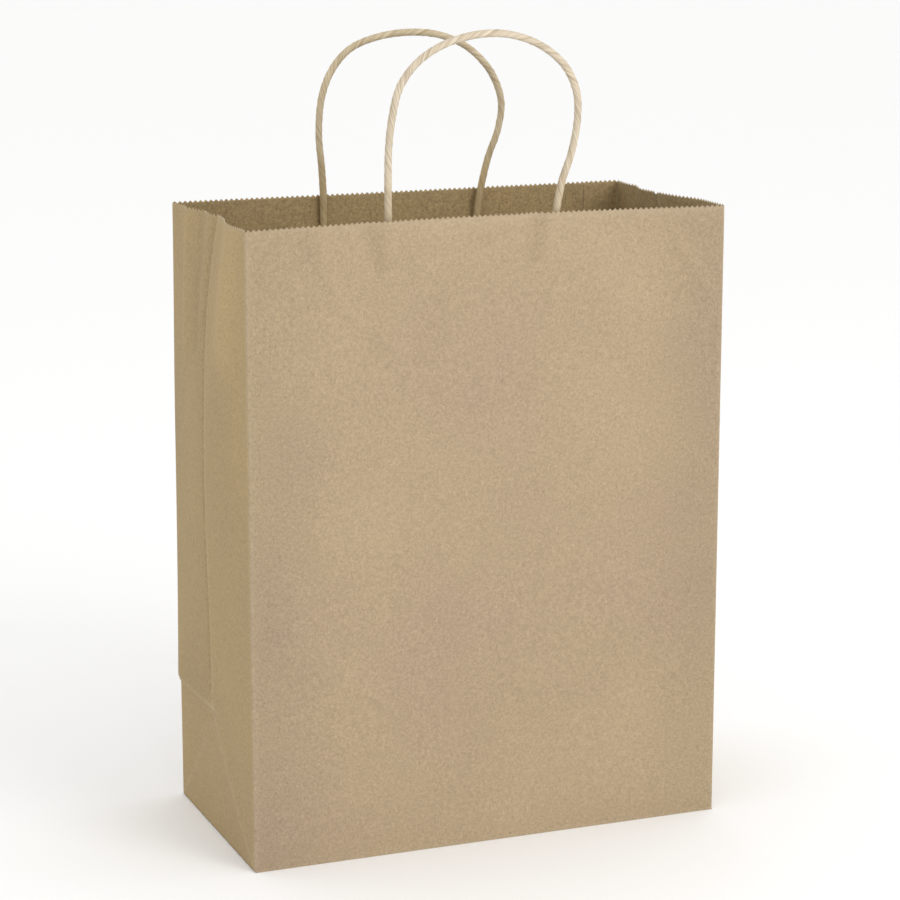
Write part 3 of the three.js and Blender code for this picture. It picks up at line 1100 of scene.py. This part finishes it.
@dataclass
class BlockBottom:
    """The four glued flaps: two end flaps inside, then the rear flap, and the front flap outside."""

    sizes: BagSizes
    paper: Paper
    lowest: float = 0.15 * MM
    layer: float = 0.26 * MM
    swell: float = 0.05 * MM
    end_gap: float = 0.1 * MM
    crease_gap: float = 0.3 * MM
    tab_gap: float = 4.0 * MM

    def flap(
        self,
        name: str,
        node: str,
        ends: tuple[float, float],
        half: tuple[float, float],
        level: int,
        across_x: bool,
        finishes: Finishes,
    ) -> Piece:
        """One flap: a grid whose half length runs straight from one value to the other, with a faint swell.

        Args:
            name: The piece's name.
            node: The frame's node that it stands for.
            ends: Position of the crease and of the free edge.
            half: Half length at the crease and at the free edge.
            level: How many layers lie below it.
            across_x: True where the flap reaches along X.
            finishes: The bag's materials.

        Returns:
            The piece.
        """
        share, reach = np.meshgrid(np.linspace(-1.0, 1.0, 81), np.linspace(0.0, 1.0, 41))
        out = ends[0] + (ends[1] - ends[0]) * reach
        side = share * (half[0] + (half[1] - half[0]) * reach)
        fade = smoothstep(reach, 0.0, 0.15) * smoothstep(1 - np.abs(share), 0.0, 0.1)
        swell = self.swell * fade * (1 + ripple(out, side, 40 + level, 0.05)) / 2
        z = self.lowest + level * self.layer + swell
        points = np.stack([out, side, z] if across_x else [side, out, z], axis=-1)
        if np.cross(points[0, 1] - points[0, 0], points[1, 0] - points[0, 0])[2] > 0:
            points = points[:, ::-1]
        worn = 0.4 * fading(np.abs(out - ends[0]), 1.0 * MM)
        piece = self.paper.piece(name, points, finishes.skins(finishes.panel), worn)
        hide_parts(node)
        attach(piece, "bottom")
        return piece

    def build(self, finishes: Finishes) -> list[Piece]:
        """Builds the four flaps from the outlines of their nodes.

        Args:
            finishes: The bag's materials.

        Returns:
            The pieces.
        """
        s = self.sizes
        pieces = []
        for level, face in enumerate(Face):
            node = f"bottom_{face.word}_flap"
            low, high = (corner.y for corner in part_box(node))
            ends = (low, high) if face is Face.FRONT else (s.panel_y, low)
            wide = s.side_x - self.end_gap
            half = (wide, wide - abs(ends[0] - ends[1]))
            pieces.append(self.flap(f"{face.word}_flap_sheet", node, ends, half, level, False, finishes))
        for side in Side:
            word = side.name.lower()
            node = f"bottom_end_flap_{word}"
            low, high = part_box(node)
            ends = (side.value * (s.half_width - self.crease_gap), low.x if side is Side.RIGHT else high.x)
            half = (s.half_depth - self.tab_gap, high.y)
            pieces.append(self.flap(f"{word}_end_flap_sheet", node, ends, half, 2, True, finishes))
        return pieces


@dataclass
class Handle:
    """One twisted cord handle with the two-layer patch that glues its ends to a face."""

    panel: FacePanel
    middle: float
    loop: tuple[tuple[float, float], ...]
    leg: float = 43.5 * MM
    diameter: float = 4.0 * MM
    sides: int = 36
    ring_spacing: float = 0.7 * MM
    turn: float = 18.0 * MM
    bend_below: float = 0.9 * MM
    bend_above: float = 9.6 * MM
    channel: float = 3.9 * MM

    @property
    def name(self) -> str:
        """The handle's word in the names of its nodes."""
        return self.panel.face.word

    @property
    def body(self) -> str:
        """The body that the handle is glued to."""
        return self.panel.face.name.lower()

    def route(self) -> Grid:
        """The cord's centre line: a glued end straight up, over the loop, and straight down into the patch.

        Returns:
            Points close together, one per row.
        """
        face = self.panel.face
        mouth = self.panel.sizes.mouth(face)
        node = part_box(f"{self.name}_handle_end_left")
        y = (node[0].y + node[1].y) / 2
        low = node[0].z - mouth
        free = [(x * MM, z * MM) for x, z in self.loop if z > 10.0]
        knots = [(-self.leg, low), (-self.leg, low / 2), (-self.leg, 0.0), *free]
        knots += [(self.leg + 0.3 * MM, -14.0 * MM), (self.leg, 0.6 * low), (self.leg, low)]
        flat = np.array([(self.middle + x, y, mouth + z) for x, z in knots])
        line = catmull_rom(flat, self.ring_spacing)
        line[:, 1] -= face.value * self.panel.shift(line[:, 0], line[:, 2])
        return line

    def cord(self, finishes: Finishes) -> Piece:
        """The twisted cord: a round profile with uneven helical ridges, carried along the centre line.

        The radius is the cord's, plus a few cosines of the angle that turns with the twist. The twist angle
        is 2 pi times the length over one turn, with a slow waver.

        Args:
            finishes: The bag's materials.

        Returns:
            The piece.
        """
        line = self.route()
        along = distances(line)
        tangent = np.gradient(line, axis=0)
        tangent /= np.linalg.norm(tangent, axis=1, keepdims=True)
        across = np.array([0.0, 1.0, 0.0]) - tangent[:, 1:2] * tangent
        across /= np.linalg.norm(across, axis=1, keepdims=True)
        third = np.cross(tangent, across)
        angle = np.linspace(0.0, 2 * math.pi, self.sides, endpoint=False)[None, :]
        s = along[:, None]
        twist = 2 * math.pi * s / self.turn + 0.5 * np.sin(s / 0.031 + 0.7) + 0.35 * np.sin(s / 0.013 + 2.1)
        turned = angle + twist
        ridges = 0.30 * np.cos(3 * turned) + 0.40 * np.cos(5 * turned + 1.3 + 0.4 * np.sin(s / 0.05))
        ridges = ridges + 0.34 * np.cos(7 * turned + 0.4) + 0.2 * np.cos(11 * turned + 2.0)
        radius = (self.diameter / 2 * (0.905 + 0.058 * ridges + 0.024 * np.sin(s / 0.009 + 1.0)))[..., None]
        round_it = np.cos(angle)[..., None] * across[:, None] + np.sin(angle)[..., None] * third[:, None]
        points = line[:, None] + radius * round_it
        rings = len(line)
        ring = (np.array([0, 0, 1, 1]) + np.arange(rings - 1)[:, None])[:, None]
        column = (np.array([0, 1, 1, 0]) + np.arange(self.sides)[:, None])[None]
        quads = (ring * self.sides + column % self.sides).reshape(-1, 4)
        first = np.arange(self.sides)
        caps = [first[::-1].tolist(), (first + (rings - 1) * self.sides).tolist()]
        mesh = bpy.data.meshes.new(f"{self.name}_handle_cord")
        mesh.from_pydata(points.reshape(-1, 3).tolist(), [], quads.tolist() + caps)
        smooth = np.ones(len(quads) + 2, bool)
        smooth[-2:] = False
        mesh.polygons.foreach_set("use_smooth", smooth)
        mouth = self.panel.sizes.mouth(self.panel.face)
        # Painted shade on the legs: full from 6 mm below the mouth, none from 38 mm above it.
        painted_shading = 1.0 - smoothstep(line[:, 2:3], mouth - 6.0 * MM, mouth + 38.0 * MM) + 0.0 * angle
        # Painted shade in the grooves, where the ridges sink below the mean radius.
        store(mesh, "groove", np.clip(-0.25 - ridges, 0.0, 1.0) * 0.9)
        store(mesh, "painted_shading", 0.7 * painted_shading)
        u = (column / self.sides + (twist[:, 0] / (2 * math.pi))[ring]).ravel()
        v = np.broadcast_to(along[ring] / 0.1, (rings - 1, self.sides, 4)).ravel()
        ends = np.zeros(2 * self.sides)
        uv = np.stack([np.concatenate([u, ends]), np.concatenate([v, ends])], axis=-1)
        mesh.uv_layers.new(name="twist").data.foreach_set("uv", uv.ravel().astype(np.float32))
        mesh.materials.append(finishes.front_cord if self.panel.face is Face.FRONT else finishes.shaded_rear_cord)
        mesh.update()
        obj = placed(mesh.name, mesh)
        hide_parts(*[f"{self.name}_handle_{part}" for part in ("loop", "end_left", "end_right")])
        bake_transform(obj)
        log.info("%s: %.0f mm of cord", obj.name, path_length(line) / MM)
        return obj

    def patch(self, finishes: Finishes, inner: bool) -> Piece:
        """One layer of the patch. The inner one rises over each cord end as a rounded channel.

        The channel is the cord's height times exp(-(distance / width)^4), with flat glued paper between.

        Args:
            finishes: The bag's materials.
            inner: True for the layer that faces the inside.

        Returns:
            The piece.
        """
        panel = self.panel
        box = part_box(f"{self.name}_patch_outer")
        fine = np.concatenate([np.linspace(-9.0, 9.0, 37) * MM + self.middle + k * self.leg for k in (-1, 1)])
        across = np.unique(np.concatenate([np.linspace(box[0].x, box[1].x, 61), fine]).round(8))
        x, z = np.meshgrid(across, np.linspace(box[0].z, box[1].z, 25))
        y_face = panel.sizes.half_depth + panel.outward(x, z)
        depth = panel.paper.thickness * (2.2 if inner else 1.12) * np.ones_like(x)
        if inner:
            inmost = min(abs(corner.y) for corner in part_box(f"{self.name}_patch_inner"))
            flat_y = panel.sizes.panel_y - panel.shift(x, z)
            over = abs(box[0].y + box[1].y) / 2 - inmost + 0.45 * MM + (y_face - flat_y)
            for leg in (-self.leg, self.leg):
                rise = np.exp(-(((x - self.middle - leg) / self.channel) ** 4))
                depth = np.maximum(depth, over * rise)
        y = panel.face.value * (y_face - depth)
        points = np.stack([x, y, z], axis=-1)
        if panel.face is Face.BACK:
            points = points[:, ::-1]
        layer = "inner" if inner else "outer"
        skins = (finishes.patch, finishes.edge, finishes.patch)
        piece = panel.paper.piece(f"{self.name}_patch_{layer}_sheet", points, skins)
        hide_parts(f"{self.name}_patch_{layer}")
        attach(piece, self.body)
        return piece

    def build(self, finishes: Finishes) -> list[Piece]:
        """Builds the cord and both layers of its patch."""
        return [self.cord(finishes), self.patch(finishes, False), self.patch(finishes, True)]


@dataclass(frozen=True)
class Studio:
    """A plain pale floor, soft even light with a key from the front right, and the camera."""

    azimuth: float = math.radians(21.7)
    elevation: float = math.radians(12.05)
    distance: float = 1.397
    target: tuple[float, float, float] = (0.0027, 0.0, 0.1923)
    lens: float = 107.07
    world: float = 1.0
    key: float = 11.0

    def floor(self) -> Piece:
        """A square floor, far wider than the bag.

        Returns:
            The floor.
        """
        wide = 30.0
        mesh = bpy.data.meshes.new("floor")
        corners = [(-wide, -wide, 0), (wide, -wide, 0), (wide, wide, 0), (-wide, wide, 0)]
        mesh.from_pydata(corners, [], [(0, 1, 2, 3)])
        mesh.materials.append(FloorFinish().build())
        obj = placed("floor", mesh)
        return obj

    def light(self) -> None:
        """Sets the white surroundings and the key light."""
        scene = bpy.context.scene
        scene.world = bpy.data.worlds.new("surroundings")
        scene.world.use_nodes = True
        background = scene.world.node_tree.nodes["Background"]
        background.inputs["Color"].default_value = (1.0, 1.0, 1.0, 1.0)
        background.inputs["Strength"].default_value = self.world
        lamp = bpy.data.lights.new("key", "AREA")
        lamp.shape, lamp.size, lamp.energy = "DISK", 1.1, self.key
        obj = placed("key", lamp)
        obj.location = (0.75, -1.6, 1.15)
        obj.rotation_euler = (Vector((0, 0, 0.18)) - obj.location).to_track_quat("-Z", "Y").to_euler()
        scene.view_settings.view_transform = "Standard"

    def camera(self) -> Piece:
        """Places the camera on a sphere round the target.

        Returns:
            The camera.
        """
        data = bpy.data.cameras.new("camera")
        data.lens, data.sensor_width = self.lens, 36.0
        data.clip_start, data.clip_end = 0.05, 200.0
        obj = placed("camera", data)
        flat = math.cos(self.elevation)
        west, south = -math.sin(self.azimuth) * flat, -math.cos(self.azimuth) * flat
        back = Vector((west, south, math.sin(self.elevation)))
        obj.location = Vector(self.target) + back * self.distance
        obj.rotation_euler = (-back).to_track_quat("-Z", "Y").to_euler()
        bpy.context.scene.camera = obj
        return obj


# Centre line of each loop: X from the middle of its legs, then the height above the mouth, in millimetres.
FRONT_LOOP = (
    (-43.5, 1.1), (-43.5, 5), (-43.8, 20.2), (-43.8, 35.3), (-42.5, 49.5), (-38.5, 65.7), (-30, 76.8),
    (-18.5, 84.3), (-4.5, 88.9), (11, 90.4), (25, 88.1), (38, 82.3), (48.5, 73.2),
    (54.5, 61.1), (55.5, 47.5), (53, 31.3), (48, 15.2), (43.6, 5), (43.5, 1.1),
)
REAR_LOOP = (
    (-43.5, 1.1), (-43.5, 5), (-44.2, 13.7), (-45.5, 31.2), (-43.5, 50.7), (-37.5, 64.8), (-27.5, 75.1),
    (-12, 80.9), (6, 82.9), (21.5, 81.4), (35, 76.5), (45.5, 68.7), (53.5, 58.5),
    (58, 44.9), (56, 30.2), (50, 14.6), (43.6, 5), (43.5, 1.1),
)

FRONT_CREASES = soft_creases(
    (-90, 314, -86, 297, 0.7, 4.5),
    (-86, 297, -72, 277, 0.8, 4.5),
    (-72, 277, -45, 256, 0.7, 5.0),
    (-98, 312, -60, 262, -0.7, 8.0),
    (-45, 256, -20, 288, -0.5, 7.0),
    (-67, 324, -60, 301, -1.2, 4.0),
    (24, 326, 22, 300, -1.2, 4.0),
    (-30, 316, 14, 319, 0.9, 6.0),
    (104, 301, 122, 279, 0.8, 3.5),
    (60, 285, 98, 262, 0.4, 8.0),
    (-100, 120, -60, 75, 0.35, 9.0),
    (20, 60, 85, 105, -0.35, 10.0),
    (-20, 200, 60, 240, 0.35, 12.0),
)
BACK_CREASES = soft_creases(
    (-70, 210, -20, 170, 0.45, 8.0),
    (30, 140, 85, 180, -0.4, 9.0),
    (-49, 330, -47, 300, -0.9, 4.0),
    (38, 330, 37, 300, -0.9, 4.0),
)
SIDE_CREASES = soft_creases(
    (-45, 20, -10, 52, 0.35, 3.0),
    (20, 230, 45, 200, 0.4, 5.0),
    (40, 335, 36, 250, 1.7, 5.0),
    (24, 335, 20, 255, -1.5, 5.0),
    (10, 335, 8, 270, 0.9, 4.0),
    (-36, 335, -30, 262, 3.2, 15.0),
)


def main() -> None:
    """Builds the studio and then the bag, sub-assembly by sub-assembly, and reports each piece."""
    logging.basicConfig(level=logging.INFO, format="%(message)s")
    studio = Studio()
    studio.camera()
    studio.floor()
    studio.light()
    finishes = Finishes.build()
    sizes = BagSizes.from_frame()
    paper = Paper()
    front_middle, rear_middle, leg = -9.0 * MM, -1.5 * MM, 43.5 * MM
    front_legs = (front_middle - leg, front_middle + leg)
    rear_legs = (rear_middle - leg, rear_middle + leg)
    tuck = -0.15 * MM
    front = FacePanel(
        sizes, paper, Face.FRONT, front_legs, 4.2 * MM, 1.0 * MM, 11, FRONT_CREASES, foot_tuck=tuck
    )
    back = FacePanel(sizes, paper, Face.BACK, rear_legs, 0.8 * MM, 1.0 * MM, 23, BACK_CREASES)
    assemblies = (
        Handle(front, front_middle, FRONT_LOOP),
        Handle(back, rear_middle, REAR_LOOP),
        front,
        back,
        SideGusset(sizes, paper, Side.LEFT, 6.6 * MM, 0.050, 3.6 * MM, 31, SIDE_CREASES),
        SideGusset(sizes, paper, Side.RIGHT, 7.0 * MM, 0.045, 2.0 * MM, 37, SIDE_CREASES),
        BlockBottom(sizes, paper),
    )
    for assembly in assemblies:
        for piece in assembly.build(finishes):
            log.info("%s: %d faces", piece.name, len(piece.data.polygons))


if __name__ == "__main__":
    main()
